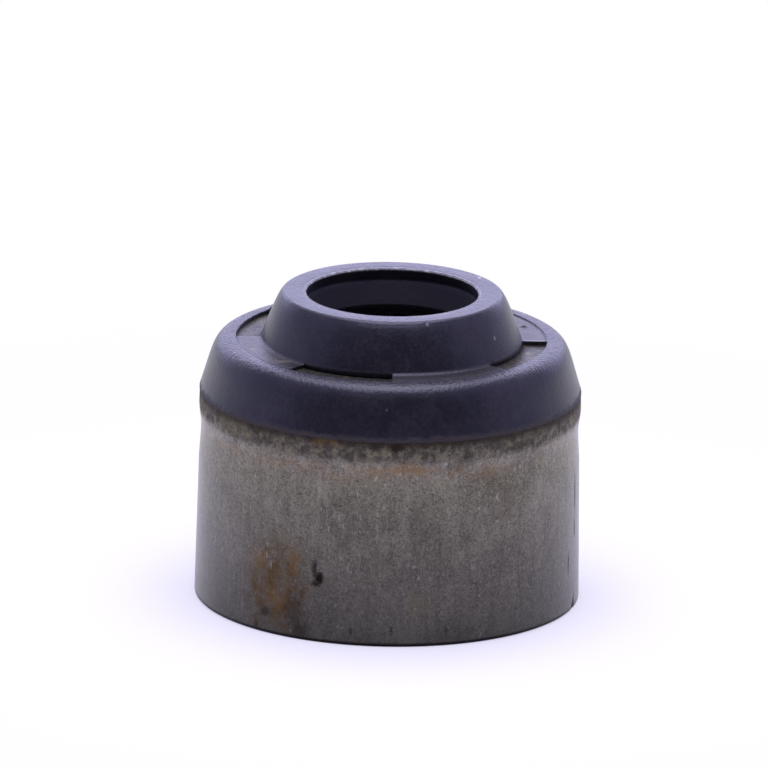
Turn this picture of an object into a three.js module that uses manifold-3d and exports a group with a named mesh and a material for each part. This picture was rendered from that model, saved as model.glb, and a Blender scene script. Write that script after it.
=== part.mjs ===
// Valve stem seal for an engine's cylinder head: a pressed steel case with a moulded rubber body bonded
// into and over it. The rubber's lining grips the valve guide and its lips wipe the valve stem.
// Millimetres, +Z up, origin at the centre of the foot, +X to the right as seen from the front.
import * as THREE from "three";
import { mergeVertices } from "three/addons/utils/BufferGeometryUtils.js";
import Module from "manifold-3d";

const wasm = await Module();
wasm.setup();

// Steel case
const footRadius = 6.5; // outside, at the foot
const wall = 0.5; // sheet thickness
const footRound = 0.08; // broken outer edge of the foot
const skirtHeight = 5.34; // straight part of the skirt
const skirtTaper = 0.08; // radius the skirt loses from foot to top
const waistRise = 0.47; // from the skirt's top to the waist
const waistDepth = 0.05; // how far the waist draws in from the skirt's top
const beadRise = 0.88; // from the waist to the crest of the bead
const beadHeight = 0.075; // how far the bead stands out from the waist
const edgeRise = 0.45; // from the bead's crest to the lower edge of the rubber
const edgeSetback = 0.01; // how far the case is back in from the crest at the rubber's edge
const flangeHoleRadius = 3.55; // hole in the case's top, which the rubber runs through

// Rubber shoulder, over the case's top corner
const shoulderRise = 1.8; // from the rubber's lower edge to the top of its ring
const shoulderReach = 1.1; // from the rubber's lower edge in to the level top of its ring
const skin = 0.15; // rubber on the case's flange, under the ring
const ringLand = 0.09; // level width of the ring's top
const ringEdgeRound = 0.03; // break of the ring's inner edge, down to the floor of the recess

// Windows in the rubber between ring and neck, where the mould's pads held the case
const windowCount = 4;
const windowSpan = 42; // degrees
const windowEnd = 2; // degrees, where the right-hand window ends
const windowUndercut = 0.05; // how far a window cuts under ring and neck

// Neck and mouth
const neckFootRadius = 4.425; // where the neck's flank meets the recess
const flankRise = 0.6; // straight foot of the flank
const flankLean = 0.225; // radius the straight foot loses
const neckTopRise = 1.06; // from the straight foot to the rim
const rimRadius = 3.6; // outer edge of the level rim
const mouthRadius = 2.9; // inner edge of the rim

// Lips, from the mouth down
const mouthUndercut = 0.12; // hollow behind the rim's inner edge
const mouthUndercutDrop = 0.36;
const sealLipRadius = 2.6; // free size of the lip that wipes a 5.5 mm stem
const sealLipDrop = 0.85; // from the undercut to the lip's edge
const sealLipBack = 0.4; // height of the lip's lower side
const chamberRadius = 3.1; // hollow between the lips
const gasLipRadius = 2.7; // smaller lip over the guide's end
const gasLipLift = 0.12; // how far its edge stands off the guide's end
const gasLipSlope = 0.55; // height of its upper side

// Socket for the valve guide
const liningFootGap = 0.9; // bare steel below the lining
const liningLeadIn = 0.6; // height of the chamfer that the guide enters by
const liningFootWidth = 0.45; // level foot of the lining
const liningThickness = 0.98; // steel to the bottom of a groove
const ribCount = 4;
const ribHeight = 0.2; // how far a rib stands in from the groove
const ribLand = 0.22; // level crest of a rib
const stopThickness = 0.7; // rubber between the guide's end and the case's flange

const turnSteps = 64; // facets round the axis

// Levels up the axis and radii that follow from the sizes above
const skirtTop = skirtHeight;
const waistLevel = skirtTop + waistRise;
const crestLevel = waistLevel + beadRise;
const edgeLevel = crestLevel + edgeRise;
const ringLevel = edgeLevel + shoulderRise;
const flangeLevel = ringLevel - skin;
const floorLevel = ringLevel - ringEdgeRound;
const flankTop = floorLevel + flankRise;
const rimLevel = flankTop + neckTopRise;
const skirtTopRadius = footRadius - skirtTaper;
const waistRadius = skirtTopRadius - waistDepth;
const crestRadius = waistRadius + beadHeight;
const edgeRadius = crestRadius - edgeSetback;
const ringOuterRadius = edgeRadius - shoulderReach;
const ringInnerRadius = ringOuterRadius - ringLand;

// A profile point: radius and height.
function at(radius, height) {
  return new THREE.Vector2(radius, height);
}

function shifted(points, inward) {
  return points.map((p) => at(p.x - inward, p.y));
}

// The shoulder's form, steep at first and then turning in to level. Rubber, bond and steel all take it.
function shoulderCurve(low, high, steps) {
  const reach = low.x - high.x;
  const rise = high.y - low.y;
  const lean = at(low.x - 0.41 * reach, low.y + 0.82 * rise);
  const corner = at(high.x + 0.64 * reach, high.y);
  return new THREE.CubicBezierCurve(low, lean, corner, high).getPoints(steps);
}

// Outside of the case from the skirt's top, in at the waist and out over the bead.
function beadCurve() {
  const knots = [
    at(skirtTopRadius, skirtTop),
    at(waistRadius, waistLevel),
    at(crestRadius, crestLevel),
    at(edgeRadius, edgeLevel),
  ];
  return new THREE.SplineCurve(knots).getPoints(7);
}

// Case and rubber meet on these lines, so both profiles are made from the same points.
const bead = beadCurve();
const bondOutside = shoulderCurve(at(edgeRadius, edgeLevel), at(ringInnerRadius, flangeLevel), 9);
const flangeUnderside = flangeLevel - wall;
const bondInside = shoulderCurve(
  at(edgeRadius - wall, edgeLevel),
  at(ringInnerRadius - wall / 2, flangeUnderside),
  6,
);
const liningFoot = at(footRadius - wall - (skirtTaper * liningFootGap) / skirtHeight, liningFootGap);
const bondWall = [liningFoot, ...shifted(bead, wall), ...bondInside.slice(1)];
const bondHole = [at(flangeHoleRadius, flangeUnderside), at(flangeHoleRadius, flangeLevel)];

function caseProfile() {
  return [
    at(footRadius - wall, 0),
    at(footRadius - footRound, 0),
    at(footRadius, footRound),
    ...bead,
    ...bondOutside.slice(1),
    ...[...bondHole].reverse(),
    ...[...bondWall].reverse(),
    at(footRadius - wall, 0),
  ];
}

// Outside of the rubber, from its lower edge up over the ring, the recess and the neck to the mouth.
function rubberOutside() {
  const flankFoot = at(neckFootRadius, floorLevel);
  const flankHead = at(neckFootRadius - flankLean, flankTop);
  const rimEdge = at(rimRadius, rimLevel);
  const lean = (flankLean / flankRise) * neckTopRise;
  const corner = at(flankHead.x - lean, rimLevel);
  const low = flankHead.clone().lerp(corner, 0.9);
  const high = rimEdge.clone().lerp(corner, 0.65);
  return [
    ...shoulderCurve(at(edgeRadius, edgeLevel), at(ringOuterRadius, ringLevel), 10),
    at(ringInnerRadius + ringEdgeRound, ringLevel),
    at(ringInnerRadius, floorLevel),
    flankFoot,
    ...new THREE.CubicBezierCurve(flankHead, low, high, rimEdge).getPoints(8),
    at(mouthRadius, rimLevel),
  ];
}

// Ribbed wall of the socket, from its top down: each rib slopes out to a narrow land and back.
function socketWall(radius, top, foot) {
  const pitch = (top - foot) / ribCount;
  const slope = (pitch - ribLand) / 3;
  const points = [at(radius, top)];
  for (let i = 0; i < ribCount; i++) {
    const start = top - pitch * i - slope / 2;
    points.push(at(radius, start));
    points.push(at(radius - ribHeight, start - slope));
    points.push(at(radius - ribHeight, start - slope - ribLand));
    points.push(at(radius, start - 2 * slope - ribLand));
  }
  return [...points, at(radius, foot)];
}

// Inside of the rubber, from the mouth down through the lips and the socket to the lining's foot.
function rubberInside() {
  const grooveRadius = footRadius - wall - liningThickness;
  const undercutLevel = rimLevel - mouthUndercutDrop;
  const sealLipLevel = undercutLevel - sealLipDrop;
  const stopLevel = flangeUnderside - stopThickness;
  const gasLipLevel = stopLevel + gasLipLift;
  return [
    at(mouthRadius + mouthUndercut, undercutLevel),
    at(sealLipRadius, sealLipLevel),
    at(chamberRadius, sealLipLevel - sealLipBack),
    at(chamberRadius, gasLipLevel + gasLipSlope),
    at(gasLipRadius, gasLipLevel),
    at(chamberRadius, stopLevel),
    ...socketWall(grooveRadius, stopLevel, liningFootGap + liningLeadIn),
    at(liningFoot.x - liningFootWidth, liningFootGap),
  ];
}

function rubberProfile() {
  return [
    ...rubberOutside(),
    ...rubberInside(),
    ...bondWall,
    ...bondHole,
    ...[...bondOutside].reverse(),
  ];
}

// A closed profile turned about the upright axis, its points welded.
function turned(profile) {
  const geometry = new THREE.LatheGeometry(profile, turnSteps);
  geometry.rotateX(Math.PI / 2);
  geometry.deleteAttribute("normal");
  geometry.deleteAttribute("uv");
  return mergeVertices(geometry, 1e-4);
}

function solidFrom(geometry) {
  const vertProperties = new Float32Array(geometry.attributes.position.array);
  const triVerts = new Uint32Array(geometry.index.array);
  return new wasm.Manifold(new wasm.Mesh({ numProp: 3, vertProperties, triVerts }));
}

function geometryFrom(solid) {
  const mesh = solid.getMesh();
  const geometry = new THREE.BufferGeometry();
  geometry.setAttribute("position", new THREE.BufferAttribute(mesh.vertProperties, 3));
  geometry.setIndex(new THREE.BufferAttribute(mesh.triVerts, 1));
  return geometry;
}

// One window's cutter: a sector from just inside the neck's foot to just under the ring.
function windowCutter(endDegrees) {
  const inner = neckFootRadius - windowUndercut;
  const outer = ringInnerRadius + windowUndercut;
  const end = THREE.MathUtils.degToRad(endDegrees);
  const start = THREE.MathUtils.degToRad(endDegrees - windowSpan);
  const sector = new THREE.Shape();
  sector.absarc(0, 0, outer, start, end, false);
  sector.absarc(0, 0, inner, end, start, true);
  const depth = 2 * skin;
  const geometry = new THREE.ExtrudeGeometry(sector, { depth, bevelEnabled: false, curveSegments: 6 });
  geometry.translate(0, 0, flangeLevel - skin / 2);
  geometry.deleteAttribute("normal");
  geometry.deleteAttribute("uv");
  return mergeVertices(geometry, 1e-4);
}

function rubberGeometry() {
  let rubber = solidFrom(turned(rubberProfile()));
  for (let i = 0; i < windowCount; i++) {
    rubber = rubber.subtract(solidFrom(windowCutter(windowEnd + (360 / windowCount) * i)));
  }
  return geometryFrom(rubber);
}

function piece(name, geometry, color, roughness, metalness) {
  const mesh = new THREE.Mesh(geometry, new THREE.MeshStandardMaterial({ color, roughness, metalness }));
  mesh.name = name;
  return mesh;
}

const seal = new THREE.Group();
seal.add(piece("metal_case", turned(caseProfile()), 0x76716a, 0.55, 0.85));
seal.add(piece("rubber_body", rubberGeometry(), 0x26262c, 0.5, 0));

export default seal;
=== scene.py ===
import math

import bmesh
import bpy
from mathutils import Matrix, Vector


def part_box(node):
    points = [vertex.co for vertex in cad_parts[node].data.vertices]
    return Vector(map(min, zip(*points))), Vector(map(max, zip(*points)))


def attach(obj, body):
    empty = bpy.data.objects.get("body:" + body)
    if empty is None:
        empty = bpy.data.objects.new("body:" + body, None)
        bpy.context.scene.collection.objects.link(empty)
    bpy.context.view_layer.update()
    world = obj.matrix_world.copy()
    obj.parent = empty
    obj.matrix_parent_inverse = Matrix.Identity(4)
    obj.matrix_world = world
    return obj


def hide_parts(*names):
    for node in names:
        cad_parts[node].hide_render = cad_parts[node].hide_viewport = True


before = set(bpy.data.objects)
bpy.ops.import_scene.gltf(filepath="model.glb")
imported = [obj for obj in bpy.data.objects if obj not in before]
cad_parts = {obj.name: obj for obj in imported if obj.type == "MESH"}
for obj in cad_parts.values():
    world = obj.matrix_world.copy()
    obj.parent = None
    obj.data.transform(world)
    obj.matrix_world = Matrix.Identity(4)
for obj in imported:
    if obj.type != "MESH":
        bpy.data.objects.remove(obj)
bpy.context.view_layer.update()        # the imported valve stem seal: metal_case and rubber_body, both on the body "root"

mm = 0.001
caseLow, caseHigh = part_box("metal_case")
rubberLow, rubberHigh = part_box("rubber_body")

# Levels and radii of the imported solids, in millimetres. Everything below hangs on them.
outerRadius = caseHigh.x / mm
flangeLevel = caseHigh.z / mm
rimLevel = rubberHigh.z / mm
liningFoot = rubberLow.z / mm
print("frame loaded: foot radius", round(outerRadius, 3), "rim level", round(rimLevel, 3))


# One class for node trees: it wraps a socket, so that maths reads as maths.
class Wire:
    def __init__(self, sheet, socket):
        self.sheet = sheet
        self.socket = socket

    def math(self, operation, *others):
        return self.sheet.node("ShaderNodeMath", {"operation": operation}, dict(enumerate((self, *others))))

    def __add__(self, other):
        return self.math("ADD", other)

    def __radd__(self, other):
        return self.math("ADD", other)

    def __sub__(self, other):
        return self.math("SUBTRACT", other)

    def __rsub__(self, other):
        return self.sheet.node("ShaderNodeMath", {"operation": "SUBTRACT"}, {0: other, 1: self})

    def __mul__(self, other):
        return self.math("MULTIPLY", other)

    def __rmul__(self, other):
        return self.math("MULTIPLY", other)

    def __truediv__(self, other):
        return self.math("DIVIDE", other)

    def __lt__(self, other):
        return self.math("LESS_THAN", other)

    def atLeast(self, other):
        return self.math("MAXIMUM", other)

    def atMost(self, other):
        return self.math("MINIMUM", other)

    # 0 below low, 1 above high, smooth between; low may be above high
    def rise(self, low, high):
        values = {0: self, 1: low, 2: high, 3: 0.0, 4: 1.0}
        if low > high:
            values = {0: self, 1: high, 2: low, 3: 1.0, 4: 0.0}
        return self.sheet.node("ShaderNodeMapRange", {"interpolation_type": "SMOOTHSTEP"}, values)


# A node tree for a material, the world or a mesh. node() adds any node and gives one of its outputs.
class Sheet:
    def __init__(self, tree):
        self.tree = tree

    def node(self, kind, settings=None, values=None, output=0):
        made = self.tree.nodes.new(kind)
        for name, value in (settings or {}).items():
            if name == "stops":
                self.setStops(made.color_ramp, value)
            else:
                setattr(made, name, value)
        for key, value in (values or {}).items():
            socket = made.inputs[key]
            if isinstance(value, Wire):
                self.tree.links.new(value.socket, socket)
            else:
                socket.default_value = value
        return Wire(self, made.outputs[output])

    def setStops(self, ramp, stops):
        while len(ramp.elements) < len(stops):
            ramp.elements.new(0.5)
        for element, (place, colour) in zip(ramp.elements, stops):
            element.position = place
            element.color = (*colour, 1.0)

    def vector(self, operation, *parts, output=0):
        return self.node("ShaderNodeVectorMath", {"operation": operation}, dict(enumerate(parts)), output)

    def parts(self, vector):
        made = self.tree.nodes.new("ShaderNodeSeparateXYZ")
        self.tree.links.new(vector.socket, made.inputs[0])
        return [Wire(self, socket) for socket in made.outputs]

    def noise(self, place, scale, detail=2.0, roughness=0.5):
        values = {"Vector": place, "Scale": scale, "Detail": detail, "Roughness": roughness}
        return self.node("ShaderNodeTexNoise", None, values)

    # colour b laid over colour a as far as factor says
    def over(self, a, b, factor):
        values = {0: factor, 6: asColour(a), 7: asColour(b)}
        return self.node("ShaderNodeMix", {"data_type": "RGBA"}, values, 2)

    def ramp(self, factor, stops):
        return self.node("ShaderNodeValToRGB", {"stops": stops}, {0: factor})

    def bump(self, height, strength, distance):
        values = {"Strength": strength, "Distance": distance * mm, "Height": height}
        return self.node("ShaderNodeBump", None, values)


def asColour(value):
    return value if isinstance(value, Wire) else (*value, 1.0)


# Profiles in the plane of radius and height, in millimetres
def bezier(low, lean, corner, high, steps):
    points = []
    for i in range(steps + 1):
        t = i / steps
        weights = ((1 - t) ** 3, 3 * t * (1 - t) ** 2, 3 * t * t * (1 - t), t ** 3)
        weighted = list(zip(weights, (low, lean, corner, high)))
        points.append(tuple(sum(w * p[k] for w, p in weighted) for k in (0, 1)))
    return points


def straight(start, end, steps):
    return [tuple(a + (b - a) * i / steps for a, b in zip(start, end)) for i in range(steps + 1)]


# A run of corners with each corner turned into an arc of its own radius: (radius, height, round)
def rounded(corners, steps=5):
    points = []
    for i, (x, y, rounding) in enumerate(corners):
        if rounding == 0 or i in (0, len(corners) - 1):
            points.append((x, y))
            continue
        here = Vector((x, y))
        back = (Vector(corners[i - 1][:2]) - here).normalized()
        on = (Vector(corners[i + 1][:2]) - here).normalized()
        half = back.angle(on) / 2
        middle = here + (back + on).normalized() * (rounding / math.sin(half))
        start = here + back * (rounding / math.tan(half)) - middle
        end = here + on * (rounding / math.tan(half)) - middle
        first = math.atan2(start.y, start.x)
        sweep = math.atan2(start.cross(end), start.dot(end))
        for k in range(steps + 1):
            turn = first + sweep * k / steps
            points.append((middle.x + rounding * math.cos(turn), middle.y + rounding * math.sin(turn)))
    return points


shoulderShares = {"leanIn": 0.41, "leanUp": 0.82, "levelOut": 0.64}  # of the shoulder's reach, rise and reach


# The shoulder's form, steep at first and then turning in to level, for rubber, bond and steel alike
def shoulder(low, high, steps):
    s = shoulderShares
    reach, rise = low[0] - high[0], high[1] - low[1]
    lean = (low[0] - s["leanIn"] * reach, low[1] + s["leanUp"] * rise)
    return bezier(low, lean, (high[0] + s["levelOut"] * reach, high[1]), high, steps)


def withoutRepeats(points, gap=1e-4):
    kept = []
    for point in points:
        if not kept or math.dist(point, kept[-1]) > gap:
            kept.append(point)
    if math.dist(kept[0], kept[-1]) <= gap:
        kept.pop()
    return kept


# A closed profile as a ring of edges, standing in the plane of X and Z
def profileObject(name, points):
    points = withoutRepeats(points)
    count = len(points)
    mesh = bpy.data.meshes.new(name)
    ring = [(i, (i + 1) % count) for i in range(count)]
    mesh.from_pydata([(x * mm, 0, z * mm) for x, z in points], ring, [])
    made = bpy.data.objects.new(name, mesh)
    bpy.context.scene.collection.objects.link(made)
    return made


def newTree(name, inputs):
    tree = bpy.data.node_groups.new(name, "GeometryNodeTree")
    tree.interface.new_socket("Profile", in_out="INPUT", socket_type="NodeSocketGeometry")
    for label, kind in inputs:
        tree.interface.new_socket(label, in_out="INPUT", socket_type="NodeSocket" + kind)
    tree.interface.new_socket("Mesh", in_out="OUTPUT", socket_type="NodeSocketGeometry")
    sheet = Sheet(tree)
    entry = tree.nodes.new("NodeGroupInput")
    given = {socket.name: Wire(sheet, socket) for socket in entry.outputs if socket.name}
    return tree, sheet, given


# The part that both pieces share: a closed profile carried round the axis
def turnedForm(sheet, given):
    hub = 1.0 * mm  # radius of the path; the profile is carried at its own distance from it
    flat = {"Geometry": given["Profile"], "Rotation": (math.pi / 2, 0, 0), "Translation": (-hub, 0, 0)}
    laid = sheet.node("GeometryNodeTransform", None, flat)
    section = sheet.node("GeometryNodeMeshToCurve", None, {0: laid})
    circle = {"Resolution": given["Turn steps"], "Radius": hub}
    path = sheet.node("GeometryNodeCurvePrimitiveCircle", None, circle)
    return sheet.node("GeometryNodeCurveToMesh", None, {"Curve": path, "Profile Curve": section})


# Uneven edges: points between two heights move up and down by a noise
def unevenForm(sheet, form, amount, grain, seed, low, high):
    place = sheet.node("GeometryNodeInputPosition")
    height = sheet.parts(place)[2]
    mask = height.rise(low[0] * mm, low[1] * mm) * (1 - height.rise(high[0] * mm, high[1] * mm))
    shifted = sheet.vector("ADD", place, sheet.node("ShaderNodeCombineXYZ", None, {0: seed}))
    hills = sheet.node("ShaderNodeTexNoise", None, {"Vector": shifted, "Scale": grain, "Detail": 3.0}) - 0.5
    drop = sheet.node("ShaderNodeCombineXYZ", None, {2: hills * mask * amount})
    return sheet.node("GeometryNodeSetPosition", None, {"Geometry": form, "Offset": drop})


def finishTree(tree, sheet, form, given):
    angle = sheet.node("GeometryNodeInputMeshEdgeAngle")
    blunt = angle < given["Sharp angle"]
    smooth = sheet.node("GeometryNodeSetShadeSmooth", {"domain": "EDGE"}, {0: form, 1: blunt, 2: True})
    real = sheet.node("GeometryNodeRealizeInstances", None, {0: smooth})
    dressed = sheet.node("GeometryNodeSetMaterial", None, {0: real, "Material": given["Material"]})
    leave = tree.nodes.new("NodeGroupOutput")
    tree.links.new(dressed.socket, leave.inputs[0])


# Sets the inputs by their identifiers, evaluates the modifier and leaves a plain mesh
def grow(made, tree, values):
    modifier = made.modifiers.new("form", "NODES")
    modifier.node_group = tree
    for item in tree.interface.items_tree:
        if item.item_type == "SOCKET" and item.in_out == "INPUT" and item.name in values:
            modifier[item.identifier] = values[item.name]
    graph = bpy.context.evaluated_depsgraph_get()
    graph.update()
    mesh = bpy.data.meshes.new_from_object(made.evaluated_get(graph))
    made.modifiers.remove(modifier)
    made.data = mesh
    mesh.name = made.name
    closeUp(mesh)
    return made


def closeUp(mesh, gap=2e-7):
    work = bmesh.new()
    work.from_mesh(mesh)
    bmesh.ops.remove_doubles(work, verts=work.verts, dist=gap)
    bmesh.ops.recalc_face_normals(work, faces=work.faces)
    open_ = sum(1 for edge in work.edges if not edge.is_manifold)
    print(mesh.name, "faces", len(work.faces), "open edges", open_)
    work.to_mesh(mesh)
    work.free()


# A place on the turned form: degrees round the axis from +X, radius and height in millimetres
def onForm(degrees, radius, height):
    turn = math.radians(degrees)
    return Vector((radius * math.cos(turn), radius * math.sin(turn), height)) * mm


# Small dents and bumps, pressed into a finished mesh along the direction given
def press(mesh, marks):
    for mark in marks.values():
        centre = onForm(*mark["at"])
        if "radial" in mark:
            push = Vector((centre.x, centre.y, 0)).normalized() * mark["radial"] * mm
        else:
            push = Vector(mark["push"]) * mm
        wide, tall = mark["wide"] * mm, mark["tall"] * mm
        for vertex in mesh.vertices:
            gap = vertex.co - centre
            if abs(gap.z) > 2 * tall or abs(gap.x) > 2 * wide:
                continue
            spread = (gap.x ** 2 + gap.y ** 2) / wide ** 2 + (gap.z / tall) ** 2
            if spread < 4:
                vertex.co += push * math.exp(-2 * spread)
    mesh.update()


caseSizes = {
    "wall": 0.5,  # millimetres, as every length here
    "footRound": 0.11,
    "footInnerRound": 0.05,
    "footInnerRise": 0.6,  # where the straight inner wall starts
    "skirtHeight": 5.34,
    "skirtTaper": 0.08,
    "waistRise": 0.47,
    "waistSweep": 0.7,  # how far below the skirt's top it starts to draw in
    "waistDepth": 0.05,
    "beadRise": 0.88,
    "beadHeight": 0.075,
    "edgeRise": 0.45,
    "edgeSetback": 0.01,
    "flangeHoleRadius": 3.55,
    "skirtSteps": 36,
    "turnSteps": 540,
    "sharpAngle": 32.0,  # degrees
}

# Nicks and pits of the steel: degrees, radius and height, depth, width and height of each
caseMarks = {
    "pit": {"at": (-110.4, 6.46, 2.24), "radial": -0.09, "wide": 0.11, "tall": 0.17},
    "pitTail": {"at": (-112.3, 6.46, 2.62), "radial": -0.06, "wide": 0.06, "tall": 0.2},
    "blotLeft": {"at": (-128.7, 6.49, 0.78), "radial": -0.03, "wide": 0.12, "tall": 0.12},
    "nickLeft": {"at": (-132.1, 6.5, 0.24), "radial": -0.05, "wide": 0.08, "tall": 0.12},
    "nickMiddle": {"at": (-100.5, 6.5, 0.5), "radial": -0.03, "wide": 0.045, "tall": 0.1},
    "nickFront": {"at": (-88.3, 6.5, 0.6), "radial": -0.04, "wide": 0.05, "tall": 0.12},
    "nickRight": {"at": (-71.9, 6.5, 0.55), "radial": -0.03, "wide": 0.04, "tall": 0.13},
    "nickFoot": {"at": (-14.4, 6.5, 0.14), "radial": -0.07, "wide": 0.12, "tall": 0.14},
}

rubberSizes = {
    "shoulderRise": 1.8,
    "shoulderReach": 1.1,
    "ringLand": 0.09,
    "ringEdge": 0.03,
    "neckFootRadius": 4.425,
    "flankRise": 0.6,
    "flankLean": 0.225,
    "rimRadius": 3.6,
    "rimCrown": 0.02,  # how far the rim falls to the mouth
    "crownRadius": 3.25,
    "mouthRadius": 2.88,
    "mouthRound": 0.06,
    "mouthUndercut": 0.14,
    "mouthUndercutDrop": 0.42,
    "sealLipRadius": 2.6,
    "sealLipDrop": 0.79,
    "sealLipBack": 0.4,
    "chamberRadius": 3.1,
    "gasLipRadius": 2.7,
    "gasLipLift": 0.12,
    "gasLipSlope": 0.55,
    "stopThickness": 0.7,
    "liningThickness": 0.98,
    "liningLeadIn": 0.6,
    "liningFootWidth": 0.45,
    "ribCount": 4,
    "ribHeight": 0.2,
    "ribLand": 0.22,
    "ribRound": 0.08,
    "grooveRound": 0.1,
    "edgeLip": 0.012,  # thickness of the rubber's lower edge
    "turnSteps": 360,
    "sharpAngle": 32.0,  # degrees
    "windowCount": 4,
    "windowSpan": 42.0,  # degrees
    "windowEnd": 0.5,  # degrees, where the right-hand window ends
    "windowUndercut": 0.01,
    "windowDepth": 0.3,
    "windowSteps": 72,
    "unevenEdge": 0.05,
    "unevenGrain": 1400.0,
    "seed": 0.17,
}

# Nicks and bumps of the rubber, pushed in or out along a direction
rubberMarks = {
    "rimNick": {"at": (32.3, 3.5, 10.57), "push": (0, 0, -0.07), "wide": 0.1, "tall": 0.2},
    "neckNick": {"at": (-72.0, 3.72, 10.52), "push": (0, 0, -0.03), "wide": 0.05, "tall": 0.14},
    "plateauBump": {"at": (22.0, 4.8, 8.91), "push": (0, 0, 0.07), "wide": 0.1, "tall": 0.1},
    "ringSpike": {"at": (141.0, 5.27, 8.94), "push": (0, 0, 0.08), "wide": 0.09, "tall": 0.1},
}

# Lines that both pieces share
sizes = caseSizes


# radius of the plain tapered skirt at a height
def taperAt(level):
    return outerRadius - caseSizes["skirtTaper"] * level / caseSizes["skirtHeight"]


skirtTop = (taperAt(sizes["skirtHeight"] - sizes["waistSweep"]), sizes["skirtHeight"] - sizes["waistSweep"])
waist = (outerRadius - sizes["skirtTaper"] - sizes["waistDepth"], sizes["skirtHeight"] + sizes["waistRise"])
crest = (waist[0] + sizes["beadHeight"], waist[1] + sizes["beadRise"])
edge = (crest[0] - sizes["edgeSetback"], crest[1] + sizes["edgeRise"])
ringLevel = edge[1] + rubberSizes["shoulderRise"]
floorLevel = ringLevel - rubberSizes["ringEdge"]
ringOuter = edge[0] - rubberSizes["shoulderReach"]
ringInner = ringOuter - rubberSizes["ringLand"]


# The case above its straight skirt, in at the waist and out over the bead, laid on the skirt's taper
def beadLine(steps=10):
    points = [skirtTop]
    stations = [skirtTop, waist, crest, edge]
    for (lowRadius, low), (highRadius, high) in zip(stations, stations[1:]):
        start, end = lowRadius - taperAt(low), highRadius - taperAt(high)
        for k in range(1, steps + 1):
            t = k / steps
            level = low + (high - low) * t
            points.append((taperAt(level) + start + (end - start) * t * t * (3 - 2 * t), level))
    return points


bead = beadLine()
bondOutside = shoulder(edge, (ringInner, flangeLevel), 22)
flangeUnderside = flangeLevel - sizes["wall"]
bondInside = shoulder(
    (edge[0] - sizes["wall"], edge[1]), (ringInner - sizes["wall"] / 2, flangeUnderside), 14)
liningCorner = (taperAt(liningFoot) - sizes["wall"], liningFoot)
bondWall = [liningCorner, *[(x - sizes["wall"], z) for x, z in bead], *bondInside[1:]]
bondHole = [(sizes["flangeHoleRadius"], flangeUnderside), (sizes["flangeHoleRadius"], flangeLevel)]


def caseProfile():
    s = caseSizes
    foot = rounded([
        (outerRadius - s["wall"], s["footInnerRise"], 0),
        (outerRadius - s["wall"], 0, s["footInnerRound"]),
        (outerRadius, 0, s["footRound"]),
        (outerRadius - s["skirtTaper"] * 0.1, s["skirtHeight"] * 0.1, 0),
    ])
    skirt = straight(foot[-1], skirtTop, s["skirtSteps"])
    return [*foot, *skirt, *bead, *bondOutside[1:], *reversed(bondHole), *reversed(bondWall)]


def neckLine(s):
    foot = (s["neckFootRadius"], floorLevel)
    head = (foot[0] - s["flankLean"], foot[1] + s["flankRise"])
    rise = rimLevel - head[1]
    corner = (head[0] - s["flankLean"] / s["flankRise"] * rise, rimLevel)
    rim = (s["rimRadius"], rimLevel)
    low = tuple(a + (b - a) * 0.9 for a, b in zip(head, corner))
    high = tuple(a + (b - a) * 0.65 for a, b in zip(rim, corner))
    return [*straight(foot, head, 6)[1:-1], *bezier(head, low, high, rim, 18)]


def ribLine(s, radius, top, foot):
    pitch = (top - foot) / s["ribCount"]
    slope = (pitch - s["ribLand"]) / 3
    corners = []
    for i in range(s["ribCount"]):
        start = top - pitch * i - slope / 2
        crestRadius = radius - s["ribHeight"]
        corners.append((radius, start, s["grooveRound"]))
        corners.append((crestRadius, start - slope, s["ribRound"]))
        corners.append((crestRadius, start - slope - s["ribLand"], s["ribRound"]))
        corners.append((radius, start - 2 * slope - s["ribLand"], s["grooveRound"]))
    return corners


def rubberProfile():
    s = rubberSizes
    undercut = rimLevel - s["mouthUndercutDrop"]
    sealLip = undercut - s["sealLipDrop"]
    stop = flangeUnderside - s["stopThickness"]
    gasLip = stop + s["gasLipLift"]
    groove = outerRadius - caseSizes["wall"] - s["liningThickness"]
    leadIn = liningFoot + s["liningLeadIn"]
    ring = rounded([
        (ringOuter, ringLevel, 0),
        (ringInner, ringLevel, s["ringEdge"] * 0.7),
        (ringInner, floorLevel, 0),
    ])
    crown = []
    for radius in (point[0] for point in straight((s["crownRadius"], 0), (s["mouthRadius"], 0), 6)):
        fall = (s["crownRadius"] - radius) / (s["crownRadius"] - s["mouthRadius"])
        crown.append((radius, rimLevel - s["rimCrown"] * fall * fall, 0))
    crown[-1] = (*crown[-1][:2], s["mouthRound"])
    inside = rounded([
        (s["rimRadius"], rimLevel, 0),
        *crown,
        (s["mouthRadius"] + s["mouthUndercut"], undercut, 0.14),
        (s["sealLipRadius"], sealLip, 0.05),
        (s["chamberRadius"], sealLip - s["sealLipBack"], 0.12),
        (s["chamberRadius"], gasLip + s["gasLipSlope"], 0.12),
        (s["gasLipRadius"], gasLip, 0.04),
        (s["chamberRadius"], stop, 0.04),
        (groove, stop, s["grooveRound"]),
        *ribLine(s, groove, stop, leadIn),
        (groove, leadIn, 0.15),
        (liningCorner[0] - s["liningFootWidth"], liningFoot, 0.06),
        (*liningCorner, 0),
    ], 3)
    lip = s["edgeLip"]
    outside = [(edge[0] + lip, edge[1] + lip / 2)]
    outside += shoulder((edge[0] + lip, edge[1] + 2 * lip), (ringOuter, ringLevel), 26)
    floor = straight((ringInner, floorLevel), (s["neckFootRadius"], floorLevel), 8)
    return [*outside, *ring[1:], *floor[1:], *neckLine(s), *inside[1:], *bondWall[1:], *bondHole,
            *reversed(bondOutside)]


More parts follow.
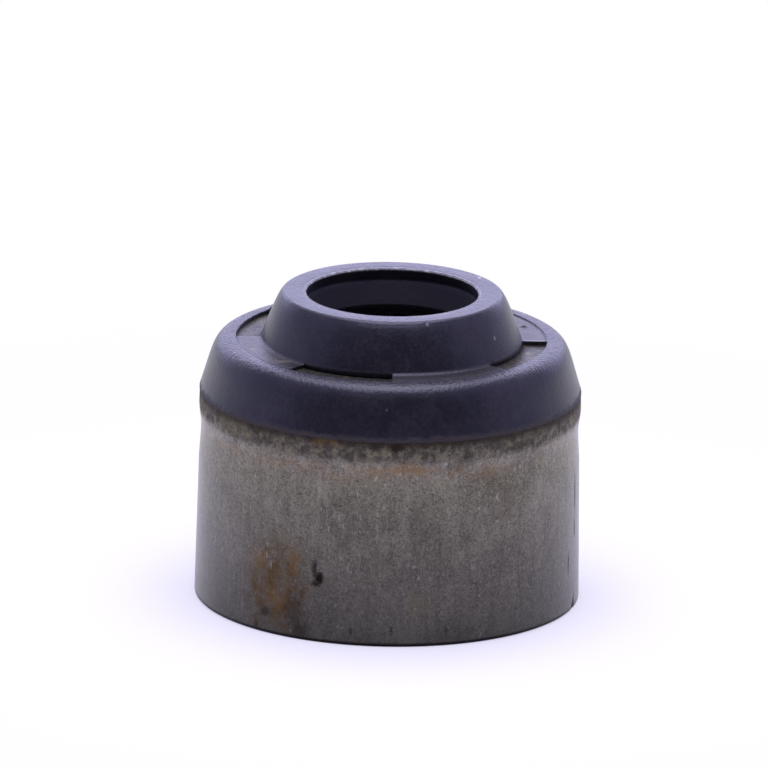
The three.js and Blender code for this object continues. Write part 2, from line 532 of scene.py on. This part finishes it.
# The windows' cutters: one sector of a ring, repeated round the axis
def windowCutters(sheet, given):
    sector = sheet.node("GeometryNodeCurveArc", {"mode": "RADIUS"}, {
        "Resolution": rubberSizes["windowSteps"], "Radius": given["Window radius"],
        "Start Angle": given["Window end"] - given["Window span"], "Sweep Angle": given["Window span"]})
    block = sheet.node("GeometryNodeCurvePrimitiveQuadrilateral", None, {
        "Width": given["Window width"], "Height": given["Window depth"]})
    swept = {"Curve": sector, "Profile Curve": block, "Fill Caps": True}
    cutter = sheet.node("GeometryNodeCurveToMesh", None, swept)
    index = sheet.node("GeometryNodeInputIndex")
    turn = sheet.node("ShaderNodeCombineXYZ", None, {2: index * (2 * math.pi) / given["Window count"]})
    level = sheet.node("ShaderNodeCombineXYZ", None, {2: given["Window level"]})
    seats = sheet.node("GeometryNodePoints", None, {"Count": given["Window count"], "Position": level})
    placed = {"Points": seats, "Instance": cutter, "Rotation": turn}
    spread = sheet.node("GeometryNodeInstanceOnPoints", None, placed)
    return sheet.node("GeometryNodeRealizeInstances", None, {0: spread})


turnInputs = [("Turn steps", "Int"), ("Sharp angle", "Float"), ("Material", "Material")]
unevenInputs = [("Uneven amount", "Float"), ("Uneven grain", "Float"), ("Seed", "Float")]
windowInputs = [("Window count", "Int"), ("Window span", "Float"), ("Window end", "Float"),
                ("Window radius", "Float"), ("Window width", "Float"), ("Window depth", "Float"),
                ("Window level", "Float")]


def sharedValues(s, material):
    return {"Turn steps": s["turnSteps"], "Sharp angle": math.radians(s["sharpAngle"]), "Material": material}


def makeCase(material):
    s = caseSizes
    tree, sheet, given = newTree("pressedCase", turnInputs)
    form = turnedForm(sheet, given)
    finishTree(tree, sheet, form, given)
    made = grow(profileObject("pressed_case", caseProfile()), tree, sharedValues(s, material))
    press(made.data, caseMarks)
    return made


def makeRubber(material):
    s = rubberSizes
    tree, sheet, given = newTree("mouldedRubber", turnInputs + unevenInputs + windowInputs)
    form = turnedForm(sheet, given)
    edgeZone = ((edge[1] - 0.3, edge[1] - 0.02), (edge[1] + 0.02, edge[1] + 0.25))
    form = unevenForm(sheet, form, given["Uneven amount"], given["Uneven grain"], given["Seed"], *edgeZone)
    cut = sheet.node("GeometryNodeMeshBoolean", {"operation": "DIFFERENCE", "solver": "MANIFOLD"},
                     {0: form, 1: windowCutters(sheet, given)})
    finishTree(tree, sheet, cut, given)
    inner, outer = s["neckFootRadius"] - s["windowUndercut"], ringInner + s["windowUndercut"]
    values = sharedValues(s, material)
    values.update({
        "Uneven amount": s["unevenEdge"] * mm, "Uneven grain": s["unevenGrain"], "Seed": s["seed"],
        "Window count": s["windowCount"], "Window span": math.radians(s["windowSpan"]),
        "Window end": math.radians(s["windowEnd"]), "Window radius": (inner + outer) / 2 * mm,
        "Window width": (outer - inner) * mm, "Window depth": s["windowDepth"] * mm,
        "Window level": (flangeLevel + s["windowDepth"] / 4) * mm})
    made = grow(profileObject("moulded_rubber", rubberProfile()), tree, values)
    press(made.data, rubberMarks)
    return made


# Materials. Positions come from Object coordinates, turned into millimetres.
def newMaterial(name):
    material = bpy.data.materials.new(name)
    material.use_nodes = True
    material.node_tree.nodes.clear()
    return material, Sheet(material.node_tree)


def millimetres(sheet):
    place = sheet.node("ShaderNodeTexCoord", None, None, "Object")
    return sheet.vector("MULTIPLY", place, (1000.0, 1000.0, 1000.0))


def squeezed(sheet, place, along, up):
    return sheet.vector("MULTIPLY", place, (along, along, up))


# 1 at a place on the form and 0 past its size, with a ragged rim
def patch(sheet, place, ragged, mark, soft=0.5, swell=1.0):
    centre = onForm(*mark["at"]) / mm
    gap = sheet.vector("SUBTRACT", place, tuple(centre))
    half = (mark["wide"], mark.get("deep", mark["wide"]), mark["tall"])  # along X, Y and Z
    scaled = sheet.vector("MULTIPLY", gap, tuple(1 / (side * swell) for side in half))
    reach = sheet.vector("LENGTH", scaled, output=1)
    return (reach + ragged).rise(1.0 + soft / 2, 1.0 - soft / 2)


def closeMaterial(sheet, values):
    surface = sheet.node("ShaderNodeBsdfPrincipled", None, values)
    leave = sheet.tree.nodes.new("ShaderNodeOutputMaterial")
    sheet.tree.links.new(surface.socket, leave.inputs["Surface"])


steelFinish = {
    "grey": (0.166, 0.148, 0.127),
    "pale": (0.262, 0.238, 0.207),
    "dark": (0.078, 0.067, 0.058),
    "dirt": (0.040, 0.030, 0.024),
    "brown": (0.018, 0.011, 0.008),
    # near black: soot for pits, scratches and specks, and the painted shade along the foot, in the neck's gap
    # and on the step
    "sootAndShade": (0.009, 0.006, 0.007),
    # bright: the colour of the painted glints
    "bright": (0.480, 0.460, 0.440),
    "olive": (0.112, 0.095, 0.056),
    "rust": (0.074, 0.041, 0.014),
    "orange": (0.195, 0.102, 0.030),
    "dust": (0.038, 0.034, 0.035),
    "sand": (0.150, 0.130, 0.098),
    "footShade": 0.23,  # share of the colour left at the foot
    "shadeRise": 6.2,
    "roughness": 0.46,
    "metallic": 0.75,
    "film": 0.5,  # thin oily film, which shines at the edges
    "filmRoughness": 0.18,
    "bumpStrength": 0.4,
    "bumpDepth": 0.06,
}

# Stains of the front: degrees, radius and height, half width and half height, colour and strength
steelStains = {
    "rustWide": {"at": (-125.3, 6.46, 1.75), "wide": 1.1, "tall": 1.5, "of": "rust", "strength": 1.0},
    "rustTopLeft": {"at": (-132.0, 6.46, 2.5), "wide": 0.3, "tall": 0.35, "of": "orange", "strength": 0.35},
    "rustTopRight": {"at": (-119.2, 6.46, 2.9), "wide": 0.25, "tall": 0.5, "of": "orange", "strength": 0.3},
    "rustLow": {"at": (-124.9, 6.46, 1.35), "wide": 0.4, "tall": 0.35, "of": "orange", "strength": 0.25},
    "rustFoot": {"at": (-118.5, 6.48, 0.9), "wide": 0.35, "tall": 0.7, "of": "brown", "strength": 0.5},
    "rustBlot": {"at": (-129.5, 6.49, 0.75), "wide": 0.3, "tall": 0.22, "of": "dirt", "strength": 0.8},
    "footBlot": {"at": (-116.5, 6.49, 0.3), "wide": 0.3, "tall": 0.35, "of": "brown", "strength": 0.7},
    "orangeMiddle": {"at": (-83.6, 6.4, 6.17), "wide": 0.7, "tall": 0.2, "of": "orange", "strength": 0.6},
    "orangeLeft": {"at": (-95.3, 6.4, 6.11), "wide": 0.6, "tall": 0.18, "of": "orange", "strength": 0.35},
    "orangeRight": {"at": (-70.0, 6.4, 6.2), "wide": 0.55, "tall": 0.16, "of": "rust", "strength": 0.3},
    "seamOrange": {"at": (-109.4, 6.44, 7.04), "wide": 0.35, "tall": 0.22, "of": "orange", "strength": 0.4},
    "seamOlive": {"at": (-143.5, 6.44, 6.85), "wide": 0.75, "tall": 0.35, "of": "olive", "strength": 0.5},
    "seamRed": {"at": (-46.9, 6.44, 6.66), "wide": 0.5, "tall": 0.18, "of": "brown", "strength": 0.5},
    "seamSpotLeft": {"at": (-94.6, 6.44, 7.0), "wide": 0.16, "tall": 0.16, "of": "brown", "strength": 0.6},
    "seamSpot": {"at": (-87.1, 6.44, 7.0), "wide": 0.32, "tall": 0.17, "of": "brown", "strength": 0.8},
    "seamSpotRight": {"at": (-79.5, 6.44, 7.02), "wide": 0.2, "tall": 0.12, "of": "brown", "strength": 0.6},
    "brownRight": {"at": (-52.0, 6.45, 4.75), "wide": 0.4, "tall": 0.9, "of": "rust", "strength": 0.35},
    "brownHigh": {"at": (-60.0, 6.45, 5.75), "wide": 0.45, "tall": 0.35, "of": "rust", "strength": 0.3},
    "brownStreak": {"at": (-81.5, 6.45, 4.0), "wide": 0.25, "tall": 0.9, "of": "dirt", "strength": 0.35},
    "oliveLow": {"at": (-82.0, 6.48, 1.5), "wide": 0.5, "tall": 0.35, "of": "olive", "strength": 0.4},
    "pitBody": {"at": (-110.6, 6.46, 2.26), "wide": 0.13, "tall": 0.2, "of": "sootAndShade", "strength": 1.0},
    "pitSide": {"at": (-111.6, 6.46, 2.05), "wide": 0.17, "tall": 0.1, "of": "brown", "strength": 0.9},
    "pitTail": {"at": (-111.9, 6.46, 2.55), "wide": 0.07, "tall": 0.3, "of": "brown", "strength": 0.85},
    "scratchLow": {"at": (-19.2, 6.45, 1.75), "wide": 0.07, "tall": 0.36, "of": "sootAndShade", "strength": 0.9},
    "scratchMiddle": {"at": (-13.1, 6.45, 2.85), "wide": 0.08, "tall": 0.34, "of": "sootAndShade", "strength": 0.85},
    "scratchHigh": {"at": (-12.7, 6.45, 4.14), "wide": 0.1, "tall": 0.62, "of": "sootAndShade", "strength": 0.8},
    "scratchEdge": {"at": (-3.0, 6.45, 1.72), "wide": 0.1, "tall": 0.1, "of": "sootAndShade", "strength": 0.9},
}

# Marks on the bare flange, in the windows of the recess, with painted shadows in the gap at the neck's foot
# and under the step; deep is the half size along Y
flangeMarks = {
    "pinhole": {"at": (177.4, 4.81, 8.79), "wide": 0.075, "tall": 0.1, "of": "sootAndShade", "strength": 1.0},
    "neckGapShadow": {
        "at": (176.7, 4.46, 8.79), "wide": 0.06, "deep": 0.75, "tall": 0.1,
        "of": "sootAndShade", "strength": 0.9},
    "stepShade": {
        "at": (-0.9, 4.86, 8.79), "wide": 0.44, "deep": 0.09, "tall": 0.1,
        "of": "sootAndShade", "strength": 1.0},
    "paleSpot": {
        "at": (-12.5, 4.72, 8.79), "wide": 0.09, "deep": 0.2, "tall": 0.1,
        "of": "sand", "strength": 0.8},
    "sandLeft": {
        "at": (152.0, 4.85, 8.79), "wide": 0.3, "deep": 0.6, "tall": 0.1,
        "of": "sand", "strength": 0.4},
}


def steelMaterial():
    f = steelFinish
    material, sheet = newMaterial("phosphatedSteel")
    place = millimetres(sheet)
    height = sheet.parts(place)[2]
    cloud = sheet.noise(place, 0.6, 4.0, 0.6)
    mottle = sheet.noise(squeezed(sheet, place, 1.0, 0.7), 2.4, 4.0, 0.6)
    streak = sheet.noise(squeezed(sheet, place, 1.0, 0.08), 6.5, 3.0, 0.6)
    grain = sheet.noise(place, 8.0, 3.0, 0.7)
    fine = sheet.noise(place, 17.0, 2.0, 0.6)
    crumbs = sheet.noise(place, 5.0, 4.0, 0.72)
    patches = sheet.noise(place, 1.9, 3.0, 0.6)
    ragged = (sheet.noise(place, 2.6, 5.0, 0.7) - 0.5) * 2.6
    frayed = (crumbs - 0.5) * 2.0 + (fine - 0.5) * 0.8
    tone = cloud * 0.25 + mottle * 0.25 + streak * 0.15 + grain * 0.35 + (fine - 0.5) * 0.55
    colour = sheet.ramp(tone.rise(0.33, 0.67), [(0.0, f["dark"]), (0.5, f["grey"]), (1.0, f["pale"])])
    warmth = sheet.noise(place, 1.3, 3.0, 0.6).rise(0.45, 0.7)
    colour = sheet.over(colour, f["olive"], warmth * 0.22)
    # the rough, dirty band under the rubber's edge
    wave = (patches - 0.5) * 0.5 + (crumbs - 0.5) * 0.35
    band = (height + wave).rise(6.25, 6.62) * (1 - height.rise(flangeLevel - 0.3, flangeLevel - 0.1))
    lumps = sheet.noise(place, 3.2, 4.0, 0.65)
    rock = (lumps * 0.7 + crumbs * 0.3 + (grain - 0.5) * 0.3).rise(0.38, 0.63)
    layers = [(0.0, f["brown"]), (0.3, f["dirt"]), (0.55, f["dark"]), (0.75, f["olive"]), (1.0, f["sand"])]
    colour = sheet.over(colour, sheet.ramp(rock, layers), band * (0.6 + patches * 0.4))
    lip = (height + wave * 0.45).rise(6.72, 7.12)
    colour = sheet.over(colour, f["brown"], lip * 0.85)
    belt = (height + wave * 0.6).rise(5.55, 5.95) * (1 - (height + wave * 0.6).rise(6.15, 6.4))
    colour = sheet.over(colour, f["orange"], belt * patches.rise(0.4, 0.62) * 0.3)
    shade = f["footShade"] + (1 - f["footShade"]) * (height / f["shadeRise"]).atMost(1.0)
    shades = sheet.node("ShaderNodeCombineXYZ", None, {0: shade, 1: shade, 2: shade})
    colour = sheet.vector("MULTIPLY", colour, shades)
    broken = (crumbs * 0.5 + mottle * 0.5).rise(0.34, 0.62) * 0.75 + 0.25
    black = lip * 0.6
    dull = band
    for stain in steelStains.values():
        rim = ragged if stain["wide"] > 0.2 else frayed
        mask = patch(sheet, place, rim, stain, 1.1) * stain["strength"]
        if stain["of"] in ("sootAndShade", "brown"):
            black = black.atLeast(mask)
        else:
            mask = mask * broken
            dull = dull.atLeast(mask)
        colour = sheet.over(colour, f[stain["of"]], mask)
    # specks and nicks, and painted glints of light on the grain
    speck = sheet.noise(place, 4.6, 3.0, 0.6).rise(0.63, 0.72)
    colour = sheet.over(colour, f["brown"], speck * 0.55)
    glint = sheet.noise(squeezed(sheet, place, 1.0, 0.55), 7.3, 2.0, 0.5).rise(0.64, 0.74)
    colour = sheet.over(colour, f["bright"], glint * 0.35 * (1 - band) * shade)
    for mark in caseMarks.values():
        mask = patch(sheet, place, frayed, mark, 1.2, 1.2) * 0.7
        colour = sheet.over(colour, f["brown"], mask)
        black = black.atLeast(mask)
    # painted shade: a dark line along the foot, where it meets the floor
    footContactShade = 1 - (height + (fine - 0.5) * 0.02).rise(0.09, 0.18)
    colour = sheet.over(colour, f["sootAndShade"], footContactShade * 0.95)
    black = black.atLeast(footContactShade)
    # the flange, bare in the windows and dusty
    flange = height.rise(flangeLevel - 0.03, flangeLevel - 0.01)
    dusty = sheet.over(f["dust"], f["sand"], (crumbs + (fine - 0.5) * 0.5).rise(0.50, 0.74) * 0.8)
    dusty = sheet.over(dusty, f["sootAndShade"], sheet.noise(place, 7.0, 2.0, 0.5).rise(0.60, 0.68) * 0.8)
    for mark in flangeMarks.values():
        mask = patch(sheet, place, frayed * 0.4, mark, 0.7) * mark["strength"]
        dusty = sheet.over(dusty, f[mark["of"]], mask)
    colour = sheet.over(colour, dusty, flange)
    bumps = grain * 0.6 + fine * 0.3 + streak * 0.25 + mottle * 0.3
    bumps = bumps + band * crumbs * 3.0 - speck * 0.8 + flange * crumbs - black * 1.5
    normal = sheet.bump(bumps, f["bumpStrength"], f["bumpDepth"])
    rough = f["roughness"] + (mottle - 0.5) * 0.16 + band * 0.25 - flange * 0.02
    metal = (f["metallic"] - band * 0.5 - flange * 0.7).atLeast(black * 0.95)
    film = f["film"] * (1 - dull) * (1 - flange) * (1 - black)
    closeMaterial(sheet, {
        "Base Color": colour, "Roughness": rough, "Metallic": metal, "Normal": normal,
        "Coat Weight": film, "Coat Roughness": f["filmRoughness"]})
    return material


rubberFinish = {
    "black": (0.0080, 0.0074, 0.0125),
    "worn": (0.028, 0.026, 0.036),
    "dust": (0.022, 0.020, 0.021),
    "sand": (0.075, 0.064, 0.049),
    # pale: flecks, and the painted highlights on the mouth's edge and a step's edge
    "pale": (0.450, 0.450, 0.540),
    # deep: near black for dark spots and for the painted shade in the bore, at the neck's foot, in gaps and
    # on steps
    "deep": (0.0012, 0.0010, 0.0018),
    "brown": (0.024, 0.017, 0.015),
    "roughness": 0.33,
    "tint": (0.74, 0.72, 1.0),
    "bloom": 0.06,  # sheen of the surface at its edges
    "bloomTint": (0.42, 0.42, 1.0),
    "bloomRoughness": 0.35,
    "ior": 1.5,
    "bumpStrength": 0.3,
    "bumpDepth": 0.04,
}

# Pale flecks and dark spots on the rubber, with painted shadows in the neck's gap, at the neck's foot, beside
# a bump and under steps, and a painted highlight on a step's edge
rubberSpots = {
    "mouthFleck": {"at": (77.5, 2.74, 9.66), "wide": 0.035, "tall": 0.035, "of": "pale", "strength": 0.4},
    "neckFleck": {"at": (-33.0, 4.15, 9.68), "wide": 0.05, "tall": 0.09, "of": "pale", "strength": 0.2},
    "neckNick": {"at": (-71.5, 3.76, 10.42), "wide": 0.04, "tall": 0.22, "of": "pale", "strength": 0.15},
    "rimNick": {"at": (33.5, 3.52, 10.57), "wide": 0.07, "tall": 0.16, "of": "pale", "strength": 0.7},
    "ringFleck": {"at": (-91.0, 6.1, 8.2), "wide": 0.05, "tall": 0.05, "of": "pale", "strength": 0.1},
    "bumpShade": {"at": (17.0, 4.72, 8.92), "wide": 0.07, "tall": 0.1, "of": "deep", "strength": 0.9},
    # painted highlight on the plateau's end edge
    "stepHighlight": {
        "at": (1.2, 4.86, 8.91), "wide": 0.42, "deep": 0.035, "tall": 0.06,
        "of": "pale", "strength": 0.5},
    # painted shadows: the gap and the foot of the neck
    "neckGapShadow": {
        "at": (176.7, 4.42, 8.86), "wide": 0.06, "deep": 0.75, "tall": 0.1,
        "of": "deep", "strength": 0.9},
    "neckFootShadow": {
        "at": (-167.3, 4.4, 8.97), "wide": 0.05, "deep": 0.4, "tall": 0.1,
        "of": "deep", "strength": 0.9},
    "footSpot": {
        "at": (-39.0, 4.44, 8.95), "wide": 0.09, "deep": 0.1, "tall": 0.09,
        "of": "deep", "strength": 0.85},
    # painted shadow on a step's face
    "stepShadow": {
        "at": (-133.5, 4.8, 8.91), "wide": 0.22, "deep": 0.09, "tall": 0.08,
        "of": "deep", "strength": 0.9},
    "roughSand": {
        "at": (-141.0, 4.72, 8.91), "wide": 0.28, "deep": 0.14, "tall": 0.09,
        "of": "sand", "strength": 0.8},
    "specksLeft": {
        "at": (-161.5, 4.9, 8.91), "wide": 0.11, "deep": 0.14, "tall": 0.09,
        "of": "sand", "strength": 1.0},
    "holeLeft": {
        "at": (-157.0, 4.83, 8.91), "wide": 0.045, "deep": 0.09, "tall": 0.09,
        "of": "deep", "strength": 0.9},
    "footCrumb": {
        "at": (-93.0, 4.6, 8.9), "wide": 0.12, "deep": 0.12, "tall": 0.12,
        "of": "sand", "strength": 0.5},
    # painted shadow of a step by the neck's foot
    "notchShadow": {
        "at": (-91.2, 4.46, 8.93), "wide": 0.06, "deep": 0.1, "tall": 0.08,
        "of": "deep", "strength": 0.9},
}


def rubberMaterial():
    f = rubberFinish
    material, sheet = newMaterial("mouldedRubber")
    place = millimetres(sheet)
    x, y, height = sheet.parts(place)
    radius = (x * x + y * y).math("SQRT")
    cloud = sheet.noise(place, 0.8, 4.0, 0.6)
    grain = sheet.noise(place, 8.0, 3.0, 0.62)
    fine = sheet.noise(place, 20.0, 2.0, 0.55)
    streak = sheet.noise(squeezed(sheet, place, 1.0, 0.2), 8.0, 3.0, 0.6)
    crumbs = sheet.noise(place, 5.0, 4.0, 0.72)
    patches = sheet.noise(place, 1.9, 3.0, 0.6)
    ragged = (crumbs - 0.5) * 1.6
    colour = sheet.over(f["black"], f["worn"], (cloud * 0.6 + grain * 0.4).rise(0.42, 0.66) * 0.4)
    # dust on the thin skin between ring and neck, and up the neck's foot
    low = 1 - (height + (crumbs - 0.5) * 0.16).rise(floorLevel + 0.01, floorLevel + 0.13)
    recess = low * radius.rise(4.2, 4.3) * (1 - radius.rise(5.22, 5.27))
    dusty = sheet.over(f["dust"], f["sand"], (crumbs + (fine - 0.5) * 0.5).rise(0.50, 0.76) * 0.75)
    dusty = sheet.over(dusty, f["brown"], (patches + (crumbs - 0.5) * 0.5).rise(0.60, 0.74) * 0.6)
    colour = sheet.over(colour, dusty, recess * 0.85)
    # painted shade: the recess darkens towards the neck's foot at the front
    frontFootShade = recess * (1 - (radius + (crumbs - 0.5) * 0.5).rise(4.6, 5.25)) * (1 - y.rise(-3.6, -2.4))
    colour = sheet.over(colour, f["deep"], frontFootShade * 0.85)
    # wear on the ring's crest and the rim's edges, in fine streaks; the crest's paler wear also widens its
    # highlight, so it is partly a painted highlight, and the pale line round the mouth's edge is a painted
    # highlight
    crest = (1 - (height - ringLevel).math("ABSOLUTE").rise(0.0, 0.3)) * radius.rise(5.15, 5.26)
    rimEdge = height.rise(rimLevel - 0.12, rimLevel - 0.04)
    colour = sheet.over(colour, f["worn"], crest * streak.rise(0.4, 0.6))
    mouthHighlight = rimEdge * (1 - radius.rise(2.95, 3.02))
    colour = sheet.over(colour, f["pale"], mouthHighlight * (0.3 + grain.rise(0.48, 0.66) * 0.5))
    fleck = sheet.noise(place, 5.2, 2.0, 0.5).rise(0.71, 0.76)
    colour = sheet.over(colour, f["dust"], fleck * 0.6)
    # the lower edge, crusted over like the steel below it
    seam = 1 - (height + (patches - 0.5) * 0.25 + (crumbs - 0.5) * 0.3).rise(edge[1] + 0.02, edge[1] + 0.24)
    crust = sheet.over(f["brown"], f["dust"], (crumbs + (grain - 0.5) * 0.4).rise(0.46, 0.66))
    seam = seam * radius.rise(5.9, 6.1)
    colour = sheet.over(colour, crust, seam * 0.95)
    for spot in rubberSpots.values():
        mask = patch(sheet, place, ragged * 0.6, spot, 0.8)
        colour = sheet.over(colour, f[spot["of"]], mask * spot["strength"])
    # painted shade: the bore goes near black below the mouth
    inside = (1 - radius.rise(2.9, 3.2)) * (1 - height.rise(9.9, 10.3))
    colour = sheet.over(colour, f["deep"], inside * 0.9)
    bumps = streak * 0.4 + grain * 0.5 + fine * 0.25 + recess * crumbs * 1.4
    bumps = bumps + crest * streak * 4.0 + seam * crumbs * 3.0 + rimEdge * grain * 1.2
    normal = sheet.bump(bumps, f["bumpStrength"], f["bumpDepth"])
    rough = f["roughness"] + (grain - 0.5) * 0.16 + (cloud - 0.5) * 0.1
    rough = rough + recess * 0.08 + inside * 0.35 + seam * 0.4
    closeMaterial(sheet, {
        "Base Color": colour, "Roughness": rough, "Normal": normal, "IOR": f["ior"],
        "Specular Tint": asColour(f["tint"]), "Sheen Weight": f["bloom"],
        "Sheen Roughness": f["bloomRoughness"], "Sheen Tint": asColour(f["bloomTint"])})
    return material


# The setting: floor, backdrop, lamps and camera
stageSizes = {
    "floorReach": 900.0,
    "floorColour": (0.82, 0.80, 0.90),
    "shadowReach": (10.0, 36.0),  # the floor turns to plain white between these radii
    # painted shadow: the floor's white is darker and lavender close to the object
    "nearShadowWhite": (0.80, 0.775, 0.97),  # the white's cast close to the object
    "nearLift": 0.56,  # how far the floor's shadow is lifted there
    "contactReach": (6.4, 7.4),  # radii between which the floor's white starts to show in glossy surfaces
    "backWhite": (1.0, 1.0, 1.0),
    "roomWhite": (0.92, 0.91, 1.0),
    "roomDark": (0.045, 0.045, 0.06),
    "sheenWhite": (0.56, 0.55, 0.80),  # the white room as glossy surfaces show it
    "horizonGlow": 4.4,  # how much brighter the backdrop is near the floor
}


def rayKinds(sheet):
    return [sheet.node("ShaderNodeLightPath", None, None, f"Is {kind} Ray")
            for kind in ("Camera", "Glossy", "Transmission")]


def makeFloor():
    s = stageSizes
    reach = s["floorReach"] * mm
    mesh = bpy.data.meshes.new("floor")
    corners = [(-reach, -reach, 0), (reach, -reach, 0), (reach, reach, 0), (-reach, reach, 0)]
    mesh.from_pydata(corners, [], [(0, 1, 2, 3)])
    floor = bpy.data.objects.new("floor", mesh)
    bpy.context.scene.collection.objects.link(floor)
    material, sheet = newMaterial("paleFloor")
    place = millimetres(sheet)
    distance = sheet.vector("LENGTH", place, output=1)
    far = distance.rise(*s["shadowReach"])
    lifted = s["nearLift"] + (1 - s["nearLift"]) * far
    # the floor's white, with a painted soft shadow close to the object
    cast = sheet.over(s["nearShadowWhite"], s["backWhite"], far)
    camera, glossy, through = rayKinds(sheet)
    seen = camera.atLeast(glossy * distance.rise(*s["contactReach"])).atLeast(through)
    matt = sheet.node("ShaderNodeBsdfDiffuse", None, {"Color": (*s["floorColour"], 1.0)})
    white = sheet.node("ShaderNodeEmission", None, {"Color": cast, "Strength": 1.0})
    mixed = sheet.node("ShaderNodeMixShader", None, {0: lifted * seen, 1: matt, 2: white})
    leave = sheet.tree.nodes.new("ShaderNodeOutputMaterial")
    sheet.tree.links.new(mixed.socket, leave.inputs["Surface"])
    mesh.materials.append(material)
    return floor


# White behind, at the sides and above; the room behind the camera is dim
def makeWorld():
    s = stageSizes
    world = bpy.data.worlds.new("room")
    bpy.context.scene.world = world
    world.use_nodes = True
    world.node_tree.nodes.clear()
    sheet = Sheet(world.node_tree)
    direction = sheet.node("ShaderNodeTexCoord", None, None, "Generated")
    x, y, z = sheet.parts(direction)
    camera, glossy, through = rayKinds(sheet)
    white = sheet.over(s["roomWhite"], s["sheenWhite"], glossy)
    lit = (y + z * 0.5).rise(-0.52, -0.1)
    room = sheet.over(s["roomDark"], white, lit)
    colour = sheet.over(room, s["backWhite"], camera.atLeast(through))
    glow = 1 + glossy * s["horizonGlow"] * y.rise(0.5, 0.95) * z.rise(0.03, 0.2) * (1 - z.rise(0.25, 0.6))
    shade = sheet.node("ShaderNodeBackground", None, {"Color": colour, "Strength": glow})
    leave = world.node_tree.nodes.new("ShaderNodeOutputWorld")
    world.node_tree.links.new(shade.socket, leave.inputs["Surface"])


lampSizes = {
    "overhead": {
        "at": (0.0, 0.0, 112.0), "size": (95.0, 140.0), "power": 0.167, "colour": (0.97, 0.96, 1.0)},
}


def makeLamps():
    for name, s in lampSizes.items():
        data = bpy.data.lights.new(name, "AREA")
        data.shape = "RECTANGLE"
        data.size, data.size_y = (value * mm for value in s["size"])
        data.energy = s["power"]
        data.color = s["colour"]
        lamp = bpy.data.objects.new(name, data)
        lamp.location = Vector(s["at"]) * mm
        aim = Vector((0, 0, rimLevel * mm)) - lamp.location
        lamp.rotation_euler = aim.to_track_quat("-Z", "Y").to_euler()
        bpy.context.scene.collection.objects.link(lamp)


cameraSizes = {
    "aim": (0.0, 0.0, 5.107),  # the point of the axis that shows at aimPixel
    "aimPixel": (389.3, 447.0),
    "frame": 768,
    "pixelsPerMillimetre": 29.6,
    "distance": 900.0,
    "elevation": 16.31,
    "roll": 1.13,
    "sensor": 36.0,
}


def makeCamera():
    s = cameraSizes
    data = bpy.data.cameras.new("camera")
    data.sensor_width = s["sensor"]
    data.lens = s["sensor"] * s["distance"] * s["pixelsPerMillimetre"] / s["frame"]
    data.clip_start, data.clip_end = 0.01, 10.0
    camera = bpy.data.objects.new("camera", data)
    up = math.radians(s["elevation"])
    turn = (Matrix.Rotation(math.pi / 2 - up, 4, "X") @ Matrix.Rotation(math.radians(s["roll"]), 4, "Z"))
    right, above, back = (turn.to_3x3().col[k] for k in range(3))
    middle = s["frame"] / 2
    across = (middle - s["aimPixel"][0]) / s["pixelsPerMillimetre"]
    rise = (s["aimPixel"][1] - middle) / s["pixelsPerMillimetre"]
    spot = Vector(s["aim"]) + back * s["distance"] + right * across + above * rise
    camera.matrix_world = Matrix.Translation(spot * mm) @ turn
    bpy.context.scene.collection.objects.link(camera)
    bpy.context.scene.camera = camera


steel = steelMaterial()
rubber = rubberMaterial()
print("finishes made")

pressedCase = makeCase(steel)
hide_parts("metal_case")
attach(pressedCase, "root")
print("case made")

mouldedRubber = makeRubber(rubber)
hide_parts("rubber_body")
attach(mouldedRubber, "root")
print("rubber made")

makeFloor()
makeWorld()
makeLamps()
makeCamera()
bpy.context.scene.view_settings.view_transform = "Standard"
print("setting made")
